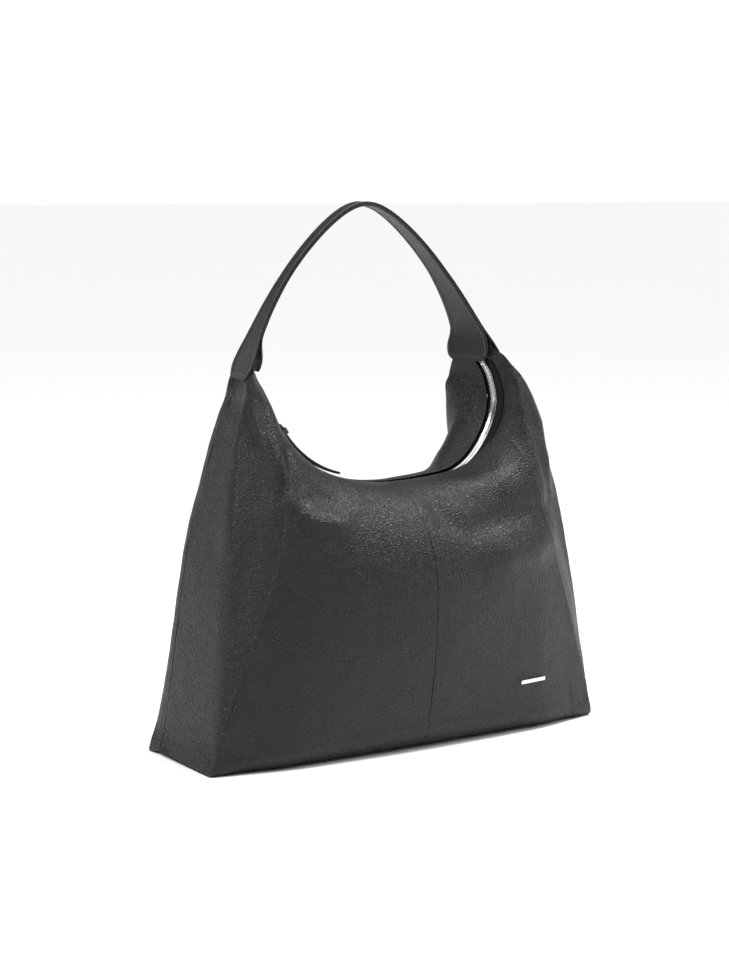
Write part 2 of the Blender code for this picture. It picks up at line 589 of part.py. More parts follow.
# ---- Assembly -----------------------------------------------------------------------------------
def main():
    clear_scene()
    coll = new_collection("hobo_bag")
    cutters = new_collection("cutters")
    mats = {
        "leather": material("black_grained_leather", (0.028, 0.027, 0.026), 0.45),
        "leather_dark": material("black_strap_leather", (0.020, 0.019, 0.019), 0.50),
        "lining": material("black_textile_lining", (0.020, 0.020, 0.022), 0.90),
        "board": material("grey_stiffener_board", (0.25, 0.24, 0.22), 0.90),
        "tape": material("black_zip_tape", (0.012, 0.012, 0.012), 0.85),
        "silver": material("nickel_plated_metal", (0.75, 0.75, 0.74), 0.25, 1.0),
        "black_metal": material("black_lacquered_metal", (0.02, 0.02, 0.02), 0.35, 0.6),
    }
    for depth_name, side_y in (("front", -1), ("back", 1)):
        for width_name, side_x in (("left", -1), ("right", 1)):
            leather_panel(f"{depth_name}_{width_name}_panel", side_x, side_y, mats["leather"], coll)
        lining_panel(f"lining_{depth_name}", side_y, mats["lining"], coll)
        zip_strip(f"zip_tape_{depth_name}", side_y, TEETH_OUT + 0.0003, 0.011, TAPE_DEPTH, TAPE_THICK, mats["tape"],
                  coll, 0.0086)
        zip_strip(f"zip_teeth_{depth_name}", side_y, TEETH_IN, TEETH_OUT, TEETH_DEPTH, TEETH_THICK, mats["silver"],
                  coll)
    base_pieces(mats, coll)
    strap_layer("strap_outer_layer", lambda z, side: 0.0, 1.0, mats["leather_dark"], coll)
    strap_layer("strap_inner_layer", inner_layer_depth, STRAP_INNER_END, mats["leather_dark"], coll)
    zip_slider(mats, coll, cutters)
    pull_ring(mats, coll)
    leather_pull(mats, coll)
    pull_keeper(mats, coll, cutters)
    zip_stop("zip_stop_left", -1, ZIP_END_LEFT - 0.02, mats, coll)
    zip_stop("zip_stop_right", 1, ZIP_END_RIGHT - 0.02, mats, coll)
    emblem(mats, coll)
    pocket_pieces(mats, coll, cutters)
    for obj in list(coll.objects) + list(cutters.objects):
        obj.location.y += FOOTPRINT_SHIFT
    slide = MOUTHS[-1]
    hang_on("zip_path_centre", (-slide.cx, slide.cz), ("zip_slider",), coll)
    pivot = slide.at_angle(SLIDER_ANGLE, -PIVOT_DEPTH)
    hang_on("pull_pivot", (-pivot.x, pivot.y), ("pull_ring", "pull_keeper", "leather_pull"), coll)
    hang_on("handle_pivot", (0, HANDLE_PIVOT_Z), ("strap_outer_layer", "strap_inner_layer"), coll)


def hang_on(name, spot, nodes, coll):
    """Parents the moving pieces to an empty on their joint axis; spot is its x and z."""
    y = STRAP_Y if name == "handle_pivot" else ZIP_Y[0][1]
    empty = bpy.data.objects.new(name, None)
    coll.objects.link(empty)
    empty.location = (spot[0], y + FOOTPRINT_SHIFT, spot[1])
    for node in nodes:
        obj = bpy.data.objects[node]
        obj.parent = empty
        obj.matrix_parent_inverse = Matrix.Translation(empty.location).inverted()


main()
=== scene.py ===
"""Look of the soft leather hobo bag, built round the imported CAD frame.

The four leather panels, the strap, the zip's tapes and teeth, the pull tab and the pocket's pouch are drawn
again here. The other pieces stay as the CAD has them, with better materials.
"""
import json
from math import asin, atan2, cos, hypot, pi, radians, sin

import bmesh
import bpy
import numpy as np
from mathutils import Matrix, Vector, noise


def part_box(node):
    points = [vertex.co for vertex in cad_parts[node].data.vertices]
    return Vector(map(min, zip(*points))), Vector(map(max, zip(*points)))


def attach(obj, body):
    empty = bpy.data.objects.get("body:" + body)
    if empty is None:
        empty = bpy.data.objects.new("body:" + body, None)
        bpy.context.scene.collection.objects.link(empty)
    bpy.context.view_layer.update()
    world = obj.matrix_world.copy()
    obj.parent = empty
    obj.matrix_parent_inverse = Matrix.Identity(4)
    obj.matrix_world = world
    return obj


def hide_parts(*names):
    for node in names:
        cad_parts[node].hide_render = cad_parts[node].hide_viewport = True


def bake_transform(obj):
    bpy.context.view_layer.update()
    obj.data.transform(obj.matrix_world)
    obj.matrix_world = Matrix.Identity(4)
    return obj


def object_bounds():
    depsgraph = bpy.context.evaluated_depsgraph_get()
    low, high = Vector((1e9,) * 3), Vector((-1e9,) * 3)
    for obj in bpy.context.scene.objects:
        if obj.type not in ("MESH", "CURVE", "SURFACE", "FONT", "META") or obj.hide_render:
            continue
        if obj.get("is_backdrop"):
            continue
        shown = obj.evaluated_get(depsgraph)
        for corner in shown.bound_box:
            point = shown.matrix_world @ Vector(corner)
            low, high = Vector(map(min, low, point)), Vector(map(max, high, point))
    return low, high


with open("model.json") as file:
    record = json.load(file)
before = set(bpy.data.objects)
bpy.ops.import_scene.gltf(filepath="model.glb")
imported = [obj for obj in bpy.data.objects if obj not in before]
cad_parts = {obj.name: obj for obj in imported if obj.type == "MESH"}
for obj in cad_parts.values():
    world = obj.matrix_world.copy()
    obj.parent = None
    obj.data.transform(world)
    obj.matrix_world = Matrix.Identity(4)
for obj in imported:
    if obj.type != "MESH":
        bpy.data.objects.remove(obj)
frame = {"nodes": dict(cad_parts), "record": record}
cad_low, cad_high = (tuple(corner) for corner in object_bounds())
BODY, HANDLE, PULL = "bag", "handle", "pull"

# ---- Shape of the bag ---------------------------------------------------------------------------
# The fan sections are the CAD model's: station u runs from the centre seam (0) over the base corner to the
# horn's tip (1). Unlike in the CAD, the side seams run up to 21 mm further back (SEAM_Y), the front right horn
# puffs out more, the strap's layers close sooner, and the zip's right end rises and turns.
BASE_HALF_X = 0.219
TIP_Z = 0.374
SWAY, SWAY_HEIGHT = 0.005, 0.36      # the body leans to the right, most at half this height
FLOOR_CLEAR = 0.0004      # the leather stays this far above the floor
MOUTH_Z, MOUTH_SAG = 0.2475, 0.0045
LIP_GAP = 0.0075
SEAM_GAP = 0.0004
CORNER_U = 0.62
MOUTH_LEFT = (0.108, 0.134, 0.1262)
MOUTH_RIGHT = (0.065, 0.127, 0.1222)
SHIFT_Y = 0.020
OUTLINE = [(0.0, BASE_HALF_X), (0.02, 0.2135), (0.06, 0.209), (0.11, 0.203), (0.17, 0.195), (0.215, 0.188),
           (0.256, 0.178), (0.30, 0.164), (0.332, 0.147), (0.350, 0.1335), (0.362, 0.1285), (0.374, 0.1245)]
ZIP_Y = [(0, -0.018), (0.74, -0.018), (0.84, -0.0125), (1, 0.006)]
SEAM_Y = [(CORNER_U, 0.032), (0.8, 0.030), (0.92, 0.026), (1, 0.012)]
FRONT = {
    "belly_d": [(0, 0.10), (0.3, 0.10), (0.62, 0.11), (0.75, 0.055), (0.83, 0.030), (0.9, 0.012), (1, 0.003)],
    "belly_y": [(0, -0.108), (0.3, -0.101), (0.62, -0.078), (0.75, -0.056), (0.83, -0.042), (0.92, -0.022),
                (1, -0.010)],
    "edge_y": [(0, -0.094), (0.4, -0.088), (0.62, -0.068), (0.75, -0.054), (0.83, -0.040), (0.92, -0.021),
               (1, -0.010)],
    "edge_r": [(0, 0.028), (0.5, 0.020), (0.62, 0.007), (0.70, 0.022), (0.83, 0.014), (0.92, 0.006),
               (1, 0.002)],
    "roll": [(0, 0), (1, 0)],
    "base_y": -0.056,
}
BACK = {
    "belly_d": [(0, 0.10), (0.3, 0.10), (0.62, 0.07), (0.7, 0.01), (0.78, -0.002), (0.86, 0.006),
                (0.93, 0.006),
                (1, 0.002)],
    "belly_y": [(0, 0.068), (0.3, 0.068), (0.62, 0.054), (0.7, 0.048), (0.83, 0.047), (0.92, 0.042),
                (1, 0.034)],
    "edge_y": [(0, 0.066), (0.4, 0.064), (0.62, 0.053), (0.7, 0.044), (0.83, 0.041), (0.92, 0.038),
               (1, 0.033)],
    "edge_r": [(0, 0.020), (0.5, 0.018), (0.62, 0.008), (0.68, 0.022), (0.83, 0.018), (0.92, 0.010),
               (1, 0.002)],
    "roll": [(0, 0), (0.25, 0), (0.38, 0.006), (0.5, 0.018), (0.65, 0.022), (0.8, 0.006), (0.87, 0), (1, 0)],
    "base_y": 0.050,
}
HORN_PUFF = [(0.72, 0), (0.84, 0.004), (0.90, 0.012), (0.96, 0.017), (1, 0.004)]
# Towards its right end the zip comes up and turns to the front, and the lips part over it.
RIGHT_ZIP_RISE, RIGHT_ZIP_ROLL = 0.0025, radians(25)
RIGHT_ZIP_SHARE = [(0.35, 0), (0.6, 1)]
RIGHT_GAPE = [(0.35, 0), (0.6, 0.0035), (0.9, 0.0035), (1, 0)]
LEFT_HORN_OUT, LEFT_HORN_LOW, LEFT_HORN_RISE = 0.0055, 0.30, 0.04      # the left horn stands further out
SIDE_BULGE = 0.004
CORNER_HEIGHT = 0.03
HORN_TURN_LEFT = [(0.18, 0), (0.25, 5), (0.31, 7.5), (0.35, 13), (0.376, 14)]
HORN_TURN_RIGHT = [(0.18, 0), (0.25, 6), (0.31, 10), (0.35, 10), (0.376, 8)]
TURN_AXIS_LEFT = [(0.325, -0.018), (0.352, 0.012)]
TURN_AXIS_RIGHT = [(0.25, -0.018), (0.30, -0.004), (0.352, 0.012)]
STRAP_TOP, STRAP_C, STRAP_K = 0.511, 0.036, 145.0
STRAP_END_X, STRAP_INNER_END = 0.139, 0.965
STRAP_Y, STRAP_SHIFT = 0.012, -0.004
STRAP_LAYER = 0.0018
STRAP_WIDTH = [(0.345, 0.0305), (0.360, 0.0315), (0.372, 0.0290), (0.389, 0.0225), (0.408, 0.0185),
               (0.430, 0.0155),
               (0.450, 0.0135), (0.520, 0.0130)]
STRAP_DEPTH_RIGHT = [(0.345, 0.0210), (0.362, 0.0155), (0.374, 0.0100), (0.384, 0.0050), (0.390, 0.0038),
                     (0.520, 0.0038)]
STRAP_DEPTH_LEFT = [(0.345, 0.0150), (0.362, 0.0120), (0.374, 0.0090), (0.384, 0.0050), (0.390, 0.0038),
                    (0.520, 0.0038)]
STRAP_TWIST = (13, -10, 9.5, 5)        # degrees: left end, right end, more at the top, more on the flanks
FLAP_CORNER_R, FLAP_SLANT = 0.013, 1.9      # round of the flaps, and the strap's length per unit of x there
SLIDER_ANGLE = radians(64)
PULL_LENGTH, PULL_WIDTH, PULL_THICK, PULL_DEPTH = 0.085, 0.008, 0.0026, -0.0036
PULL_START, PULL_END_R = 0.0068, 0.0025      # from the slider's middle to the tab, round of the tab's ends
ZIP_END_LEFT, ZIP_END_RIGHT = 0.80, 0.92
TEETH_DEPTH, TAPE_DEPTH, TAPE_THICK = 0.0040, 0.0036, 0.0007      # middle of the teeth, face of the tape

# ---- Look ---------------------------------------------------------------------------------------
EDGE_ROLL = 0.0012        # radius of the folded leather edges
SEAM_ROLL = 0.0006        # radius of the leather's turn into a seam
SEAM_HALF = 0.00005       # half of the line left open at the centre seam
SEAM_SINK = 0.0020        # how far the seam's inside edge lies under the leather
STITCH = 0.0030           # one stitch and its gap
STITCH_LENGTH, STITCH_RADIUS, STITCH_INSET = 0.0022, 0.00032, 0.0026
STITCH_RINGS = ((-0.5, 0.35, -0.0003), (-0.36, 0.9, 0.00008), (0, 1.0, 0.00016), (0.36, 0.9, 0.00008),
                (0.5, 0.35, -0.0003))      # place along the stitch, share of the radius, height
TOOTH_PITCH = 0.0026
TOOTH_RINGS = ((-0.0009, 0.00042, 0.00050), (-0.0004, 0.00055, 0.00075), (0.0012, 0.00062, 0.00095),
               (0.0028, 0.00050, 0.00100), (0.0031, 0.00040, 0.00080))      # place, half length, half height
TOOTH_CORNERS = ((-1, -0.5), (-0.5, -1), (0.5, -1), (1, -0.5), (1, 0.5), (0.5, 1), (-0.5, 1), (-1, 0.5))
TAPE_TURNED, TAPE_FLAT = (0.0011, 0.0036), (0.0080, 0.0125)      # the first two widths roll with the zip

# Folds of the soft leather on one panel: height, width, the fan stations and shares of the way down from the
# lip that the fold runs through, and how strong it is at each of them.
LEFT_FRONT_FOLDS = [
    (0.0050, 0.009, [(0.97, 0.5), (0.88, 0.4), (0.8, 0.3), (0.7, 0.22), (0.6, 0.2)], (0.3, 0.8, 1, 0.9, 0.1)),
    (-0.0024, 0.006, [(0.70, 0.12), (0.64, 0.13), (0.57, 0.2), (0.53, 0.27)], (0, 0.7, 1, 0)),
    (0.0045, 0.009, [(0.6, 0.23), (0.5, 0.26), (0.4, 0.25), (0.3, 0.22)], (0.6, 1, 0.9, 0)),
    (-0.0035, 0.009, [(0.56, 0.13), (0.48, 0.17), (0.4, 0.17), (0.32, 0.15)], (0.1, 1, 0.9, 0)),
    (0.0022, 0.020, [(0.4, 0.07), (0.25, 0.09), (0.08, 0.09)], (0.2, 1, 0.3)),
]
RIGHT_FRONT_FOLDS = [
    (0.0050, 0.009, [(0.98, 0.6), (0.93, 0.7), (0.88, 0.7), (0.82, 0.62),
                     (0.75, 0.52)], (0.3, 0.8, 1, 1, 0.6)),
    (-0.0045, 0.012, [(0.78, 0.56), (0.66, 0.38), (0.5, 0.26), (0.35, 0.25), (0.2, 0.27), (0.08, 0.23),
                      (0.03, 0.12)],
     (0.1, 0.7, 1, 1, 0.9, 0.7, 0.1)),
    (0.0055, 0.018, [(0.12, 0.09), (0.3, 0.12), (0.45, 0.13), (0.55, 0.16)], (0.3, 1, 1, 0.3)),
    (0.0045, 0.014, [(0.68, 0.52), (0.5, 0.38), (0.35, 0.36), (0.2, 0.38)], (0, 1, 1, 0)),
    (-0.0026, 0.007, [(0.07, 0.09), (0.08, 0.17), (0.11, 0.25)], (0.2, 1, 0.2)),
]
BACK_FOLDS = [
    (0.0025, 0.009, [(0.95, 0.5), (0.85, 0.45), (0.75, 0.35), (0.65, 0.28)], (0.2, 1, 0.9, 0)),
    (-0.0030, 0.014, [(0.7, 0.4), (0.5, 0.28), (0.3, 0.25), (0.08, 0.2)], (0, 1, 0.8, 0)),
]
# Short pinches where the panel is gathered at its bottom corner.
CORNER_PINCHES = [(-0.0014, 0.0035, [(k, 0.80 + 0.02 * i), (k + 0.008, 0.93)], (0, 1))
                  for i, k in enumerate((0.53, 0.56, 0.585, 0.605))]
FOLDS = {(-1, -1): LEFT_FRONT_FOLDS + CORNER_PINCHES, (1, -1): RIGHT_FRONT_FOLDS + CORNER_PINCHES,
         (-1, 1): BACK_FOLDS + CORNER_PINCHES, (1, 1): BACK_FOLDS + CORNER_PINCHES}


def table(stations, u):
    """Smooth value between stations, for a number or an array."""
    s = np.array(stations, float)
    x, y = s[:, 0], s[:, 1]
    d = np.diff(y) / np.diff(x)
    m = np.zeros(len(x))
    both = d[:-1] * d[1:] > 0
    inner = np.zeros(len(d) - 1)
    inner[both] = 2 * d[:-1][both] * d[1:][both] / (d[:-1][both] + d[1:][both])
    m[1:-1] = inner
    u = np.clip(u, x[0], x[-1])
    i = np.clip(np.searchsorted(x, u, "right") - 1, 0, len(x) - 2)
    h = x[i + 1] - x[i]
    t = (u - x[i]) / h
    return (y[i] * (1 + 2 * t) * (1 - t) ** 2 + m[i] * h * t * (1 - t) ** 2
            + y[i + 1] * t * t * (3 - 2 * t) + m[i + 1] * h * t * t * (t - 1))


class Mouth:
    """One half of the zip line in the XZ plane: flat bottom arc, corner arc, then the horn's inside."""

    def __init__(self, corner_r, side_x, tip_x):
        self.corner_r, self.side_x = corner_r, side_x
        self.cx = side_x - corner_r
        self.cz = MOUTH_Z + corner_r + MOUTH_SAG
        low = MOUTH_Z + corner_r
        self.flat_z = (low ** 2 - self.cx ** 2 - self.cz ** 2) / (2 * (low - self.cz))
        self.flat_r = self.flat_z - MOUTH_Z
        self.join = atan2(self.cx, self.flat_z - self.cz)
        rise, run = TIP_Z - self.cz, side_x - tip_x
        self.horn_r = (rise ** 2 + run ** 2) / (2 * run)
        self.s1 = self.flat_r * self.join
        self.s2 = self.s1 + corner_r * (pi / 2 - self.join)
        self.s3 = self.s2 + self.horn_r * asin(rise / self.horn_r)

    def at(self, s):
        if s <= self.s1:
            a = s / self.flat_r
            return np.array([self.flat_r * sin(a), self.flat_z - self.flat_r * cos(a)])
        if s <= self.s2:
            a = self.join + (s - self.s1) / self.corner_r
            return np.array([self.cx + self.corner_r * sin(a), self.cz - self.corner_r * cos(a)])
        b = (s - self.s2) / self.horn_r
        return np.array([self.side_x - self.horn_r * (1 - cos(b)), self.cz + self.horn_r * sin(b)])

    def at_angle(self, a, radius_step=0.0):
        r = self.corner_r - radius_step
        return np.array([self.cx + r * sin(a), self.cz - r * cos(a)])


MOUTHS = {-1: Mouth(*MOUTH_LEFT), 1: Mouth(*MOUTH_RIGHT)}


def outline(u, side_x):
    if u <= CORNER_U:
        return np.array([BASE_HALF_X * u / CORNER_U, 0.0])
    z = TIP_Z * ((u - CORNER_U) / (1 - CORNER_U)) ** 0.85
    x = table(OUTLINE, z) + SWAY * side_x * sin(pi * min(z / SWAY_HEIGHT, 1.0))
    if side_x < 0:
        x += LEFT_HORN_OUT * min(max((z - LEFT_HORN_LOW) / LEFT_HORN_RISE, 0.0), 1.0)
    return np.array([x, z])


def body_points(side_x, x, y, z):
    """World points from half-body coordinates, with the horns turned to lie flat between the flaps."""
    z = np.maximum(z, FLOOR_CLEAR)
    wall = table(OUTLINE, z) + SWAY * side_x * np.sin(pi * z / SWAY_HEIGHT)
    x = np.where(z < CORNER_HEIGHT, np.minimum(x, wall), x)
    turn = np.radians(table(HORN_TURN_LEFT if side_x < 0 else HORN_TURN_RIGHT, z))
    axis_y = table(TURN_AXIS_LEFT if side_x < 0 else TURN_AXIS_RIGHT, z)
    x = side_x * x + np.tan(-side_x * turn) * (y - axis_y)
    return np.stack([x, y + SHIFT_Y, z], axis=-1)


LIP_ANGLES = (180, 180, 150, 120, 90, 60, 30)      # degrees round the turned lip, from its inside
LIP_COLUMNS = len(LIP_ANGLES)
COUNTS = (50, 36, 12, 14)      # points of a section over the shoulder, belly, edge and side wall


def section(u, side_x, side_y, side_wall):
    """Row of points from under the zip lip, over the shoulder, belly and edge, to the seam."""
    shape = FRONT if side_y < 0 else BACK
    start = MOUTHS[side_x].at(u * MOUTHS[side_x].s3)
    end = outline(u, side_x)
    full = np.linalg.norm(end - start)
    along = (end - start) / full
    lip = table(ZIP_Y, u) + side_y * (LIP_GAP + (table(RIGHT_GAPE, u) if side_x > 0 else 0.0))
    belly_d = min(table(shape["belly_d"], u), 0.72 * full)
    puff = table(HORN_PUFF, u) if side_x > 0 > side_y else 0.0
    belly_y, edge_y = table(shape["belly_y"], u) - puff, table(shape["edge_y"], u) - puff
    edge_r = min(table(shape["edge_r"], u), 0.9 * (full - belly_d), 0.45 * full)
    roll = table(shape["roll"], u)
    last_y = table(SEAM_Y, u) + side_y * SEAM_GAP if side_wall else shape["base_y"]
    edge_r = min(edge_r, 0.9 * abs(edge_y - last_y))
    shoulder, belly, edge, wall = COUNTS
    r = min(EDGE_ROLL, 0.2 * full)
    a = np.radians(LIP_ANGLES)
    turned_d = r - r * np.cos(a)
    turned_y = lip - side_y * r * np.sin(a)
    turned_y[0] = lip + side_y * min(0.006, 0.5 * abs(belly_y - lip))
    a = pi / 2 * np.linspace(0, 1, shoulder) ** 1.25
    ds = belly_d * (1 - np.cos(a)) - roll * np.sin(2 * a) * (1 - 0.4 * np.sin(a))
    ys = lip + (belly_y - lip) * np.sin(a)
    w = np.arange(1, belly + 1) / belly
    db = belly_d + (full - edge_r - belly_d) * w
    yb = belly_y + (edge_y - belly_y) * w * w
    a = pi / 2 * np.arange(1, edge + 1) / edge
    de = full - edge_r + edge_r * np.sin(a)
    ye = edge_y - side_y * edge_r * (1 - np.cos(a))
    w = 1 - (1 - np.arange(1, wall + 1) / wall) ** 1.7
    bulge = SIDE_BULGE * sin(pi * (u - CORNER_U) / (1 - CORNER_U)) if side_wall else 0.0
    dw = full + bulge * (1 - (1 - w) ** 2)
    yw = edge_y - side_y * edge_r + (last_y - edge_y + side_y * edge_r) * w
    d = np.concatenate([turned_d, ds, db, de, dw])
    y = np.concatenate([turned_y, ys, yb, ye, yw])
    return body_points(side_x, start[0] + along[0] * d, y, start[1] + along[1] * d)


# ---- Mesh helpers -------------------------------------------------------------------------------
def link(name, mesh, *materials):
    obj = bpy.data.objects.new(name, mesh)
    bpy.context.scene.collection.objects.link(obj)
    mesh.materials.clear()
    for mat in materials:
        mesh.materials.append(mat)
    mesh.shade_smooth()
    return obj


def grid_mesh(name, grid, flip=False, closed=False):
    """Quads through a grid of points (rows, columns, 3)."""
    rows, cols = grid.shape[:2]
    idx = np.arange(rows * cols).reshape(rows, cols)
    if closed:
        idx = np.concatenate([idx, idx[:, :1]], axis=1)
    quads = np.stack([idx[:-1, :-1], idx[1:, :-1], idx[1:, 1:], idx[:-1, 1:]], axis=-1).reshape(-1, 4)
    if flip:
        quads = quads[:, ::-1]
    mesh = bpy.data.meshes.new(name)
    mesh.from_pydata(grid.reshape(-1, 3).tolist(), [], quads.tolist())
    mesh.update()
    return mesh


def capped_tube(name, grid, painted=False):
    """Tube through rings of points, closed at both ends; painted edges take the second material."""
    mesh = grid_mesh(name, grid, closed=True)
    rings, cols = grid.shape[:2]
    bm = bmesh.new()
    bm.from_mesh(mesh)
    bm.verts.ensure_lookup_table()
    for first in (0, (rings - 1) * cols):
        bm.faces.new([bm.verts[first + k] for k in range(cols)])
    bmesh.ops.recalc_face_normals(bm, faces=bm.faces)
    if painted:
        for face in bm.faces:
            spots = [v.index % cols for v in face.verts]
            on_edge = any(k % (FACE_POINTS + EDGE_POINTS) >= FACE_POINTS for k in spots)
            face.material_index = 1 if len(face.verts) > 4 or on_edge else 0
    bm.to_mesh(mesh)
    bm.free()
    return mesh


def skin_rings(bm, rings):
    """Closed skin over rings of vertices, with a cap at each end."""
    count = len(rings[0])
    for a, b in zip(rings[:-1], rings[1:]):
        for j in range(count):
            bm.faces.new((a[j], a[(j + 1) % count], b[(j + 1) % count], b[j]))
    bm.faces.new(rings[0][::-1])
    bm.faces.new(rings[-1])


def bmesh_to_mesh(bm, name):
    bmesh.ops.recalc_face_normals(bm, faces=bm.faces)
    mesh = bpy.data.meshes.new(name)
    bm.to_mesh(mesh)
    bm.free()
    return mesh


def grid_normals(grid):
    du, dv = np.gradient(grid, axis=0), np.gradient(grid, axis=1)
    n = np.cross(du, dv)
    return n / np.maximum(np.linalg.norm(n, axis=-1, keepdims=True), 1e-12)


def panel_spot(side_x, side_y, u, share):
    """Point of a panel at fan station u, a share of the way down from the lip to the bottom or side edge."""
    face = section(u, side_x, side_y, u > CORNER_U)[LIP_COLUMNS:LIP_COLUMNS + sum(COUNTS[:3])]
    run = np.concatenate([[0], np.cumsum(np.linalg.norm(np.diff(face, axis=0), axis=1))])
    return np.array([np.interp(share * run[-1], run, face[:, k]) for k in range(3)])


def fold_height(points, side_x, side_y):
    """Sum of the folds' heights at the points of one panel."""
    total = np.zeros(points.shape[:-1])
    for height, width, stations, profile in FOLDS[side_x, side_y]:
        line = np.array([panel_spot(side_x, side_y, u, share) for u, share in stations])
        best = np.full(points.shape[:-1], 1e9)
        gain = np.zeros(points.shape[:-1])
        for k in range(len(line) - 1):
            a, b = line[k], line[k + 1]
            t = np.clip(((points - a) @ (b - a)) / ((b - a) @ (b - a)), 0, 1)
            dist = np.linalg.norm(points - (a + t[..., None] * (b - a)), axis=-1)
            near = dist < best
            best = np.where(near, dist, best)
            gain = np.where(near, profile[k] + (profile[k + 1] - profile[k]) * t, gain)
        total += height * gain * np.exp(-(best / width) ** 2)
    return total


def ripple(points, scale, seed):
    flat = points.reshape(-1, 3)
    out = [noise.noise(Vector((p[0] / scale + seed, p[1] / scale, p[2] / scale))) for p in flat]
    return np.array(out).reshape(points.shape[:-1])


# ---- Materials ----------------------------------------------------------------------------------
class Nodes:
    """Short hand for building a material's nodes."""

    def __init__(self, name):
        self.mat = bpy.data.materials.new(name)
        self.mat.use_nodes = True
        self.tree = self.mat.node_tree
        self.shader = self.tree.nodes["Principled BSDF"]
        self.coords = self.add("ShaderNodeTexCoord").outputs["Object"]

    def add(self, kind, inputs=None, **settings):
        node = self.tree.nodes.new(kind)
        for key, value in settings.items():
            setattr(node, key, value)
        for key, value in (inputs or {}).items():
            self.feed(node, key, value)
        return node

    def feed(self, node, key, value):
        if isinstance(value, bpy.types.NodeSocket):
            self.tree.links.new(value, node.inputs[key])
        else:
            node.inputs[key].default_value = value

    def noise(self, scale, detail=2.0):
        inputs = {"Scale": scale, "Detail": detail, "Roughness": 0.5, "Vector": self.coords}
        return self.add("ShaderNodeTexNoise", inputs).outputs["Fac"]

    def math(self, op, a, b):
        return self.add("ShaderNodeMath", {0: a, 1: b}, operation=op).outputs[0]

    def remap(self, value, low, high, to_low, to_high, smooth=False):
        node = self.add("ShaderNodeMapRange", {"Value": value, "From Min": low, "From Max": high,
                                               "To Min": to_low, "To Max": to_high})
        if smooth:
            node.interpolation_type = "SMOOTHSTEP"
        return node.outputs["Result"]

    def ramp(self, value, stops):
        node = self.add("ShaderNodeValToRGB", {"Fac": value})
        els = node.color_ramp.elements
        while len(els) < len(stops):
            els.new(0.5)
        for el, (pos, col) in zip(els, stops):
            el.position = pos
            el.color = (*col, 1.0)
        return node.outputs["Color"]

    def bump(self, height, distance, strength):
        values = {"Height": height, "Distance": distance, "Strength": strength}
        return self.add("ShaderNodeBump", values).outputs["Normal"]

    def set(self, **values):
        for key, value in values.items():
            self.feed(self.shader, key.replace("_", " "), value)


def leather_material(name, dark, light, rough, grain, depth):
    """Pebbled leather: rounded cells between fine creases, pores, an uneven tone, and painted shade that
    darkens the creases and lightens the cell tops.
    """
    n = Nodes(name)
    warp = n.add("ShaderNodeTexNoise", {"Scale": 160.0, "Detail": 2.0, "Vector": n.coords})
    offset = n.add("ShaderNodeVectorMath", {0: warp.outputs["Color"], 1: (0.5, 0.5, 0.5)},
                   operation="SUBTRACT")
    scaled = n.add("ShaderNodeVectorMath", {0: offset.outputs[0]}, operation="SCALE")
    scaled.inputs["Scale"].default_value = 0.0022
    moved = n.add("ShaderNodeVectorMath", {0: n.coords, 1: scaled.outputs[0]}, operation="ADD").outputs[0]
    cells = n.add("ShaderNodeTexVoronoi", {"Scale": 1.0 / grain, "Vector": moved, "Randomness": 0.95},
                  feature="DISTANCE_TO_EDGE").outputs["Distance"]
    small = n.add("ShaderNodeTexVoronoi", {"Scale": 2.3 / grain, "Vector": moved, "Randomness": 1.0},
                  feature="DISTANCE_TO_EDGE").outputs["Distance"]
    dome = n.remap(cells, 0.0, 0.32, 0.0, 1.0, smooth=True)
    fine = n.remap(small, 0.0, 0.25, 0.0, 1.0, smooth=True)
    height = n.math("ADD", n.math("MULTIPLY", dome, 0.75), n.math("MULTIPLY", fine, 0.25))
    pores = n.noise(2600.0, 2.0)
    height = n.math("ADD", height, n.math("MULTIPLY", pores, 0.12))
    patch = n.noise(14.0, 3.0)
    strength = n.remap(patch, 0.3, 0.7, 0.75, 1.0)
    normal = n.bump(n.math("MULTIPLY", height, strength), depth, 1.0)
    # painted shade: part of the colour follows the cell height (dome), dark in the grain's creases and light
    # on the cell tops; the rest of the tone is random noise
    tone = n.math("ADD", n.math("MULTIPLY", n.noise(9.0, 4.0), 0.55), n.math("MULTIPLY", dome, 0.45))
    color = n.ramp(tone, [(0.25, dark), (0.85, light)])
    roughness = n.math("ADD", n.remap(dome, 0.0, 1.0, rough + 0.16, rough),
                       n.remap(patch, 0.3, 0.7, -0.03, 0.04))
    n.set(Base_Color=color, Roughness=roughness, Normal=normal, Specular_IOR_Level=0.32)
    return n.mat


def metal_material(name, color, rough, metallic=1.0):
    n = Nodes(name)
    wear = n.noise(900.0, 3.0)
    n.set(Base_Color=n.ramp(n.noise(120.0, 2.0), [(0.3, tuple(0.8 * c for c in color)), (0.7, color)]),
          Metallic=metallic, Roughness=n.remap(wear, 0.3, 0.7, rough * 0.8, rough * 1.35),
          Normal=n.bump(wear, 0.00002, 0.4))
    return n.mat


def woven_material(name, color, pitch):
    n = Nodes(name)
    warp = n.add("ShaderNodeTexWave", {"Scale": 1 / (pitch * 3.2), "Distortion": 0.6, "Vector": n.coords},
                 bands_direction="DIAGONAL").outputs["Fac"]
    weft = n.add("ShaderNodeTexWave", {"Scale": 1 / (pitch * 3.2), "Distortion": 0.6, "Vector": n.coords},
                 bands_direction="Z").outputs["Fac"]
    weave = n.math("MULTIPLY", warp, weft)
    tone = n.math("ADD", n.math("MULTIPLY", weave, 0.6), n.math("MULTIPLY", n.noise(30.0), 0.4))
    stops = [(0.1, tuple(0.6 * c for c in color)), (0.8, tuple(1.5 * c for c in color))]
    n.set(Base_Color=n.ramp(tone, stops), Roughness=0.85, Specular_IOR_Level=0.2,
          Normal=n.bump(weave, 0.00012, 0.7))
    return n.mat


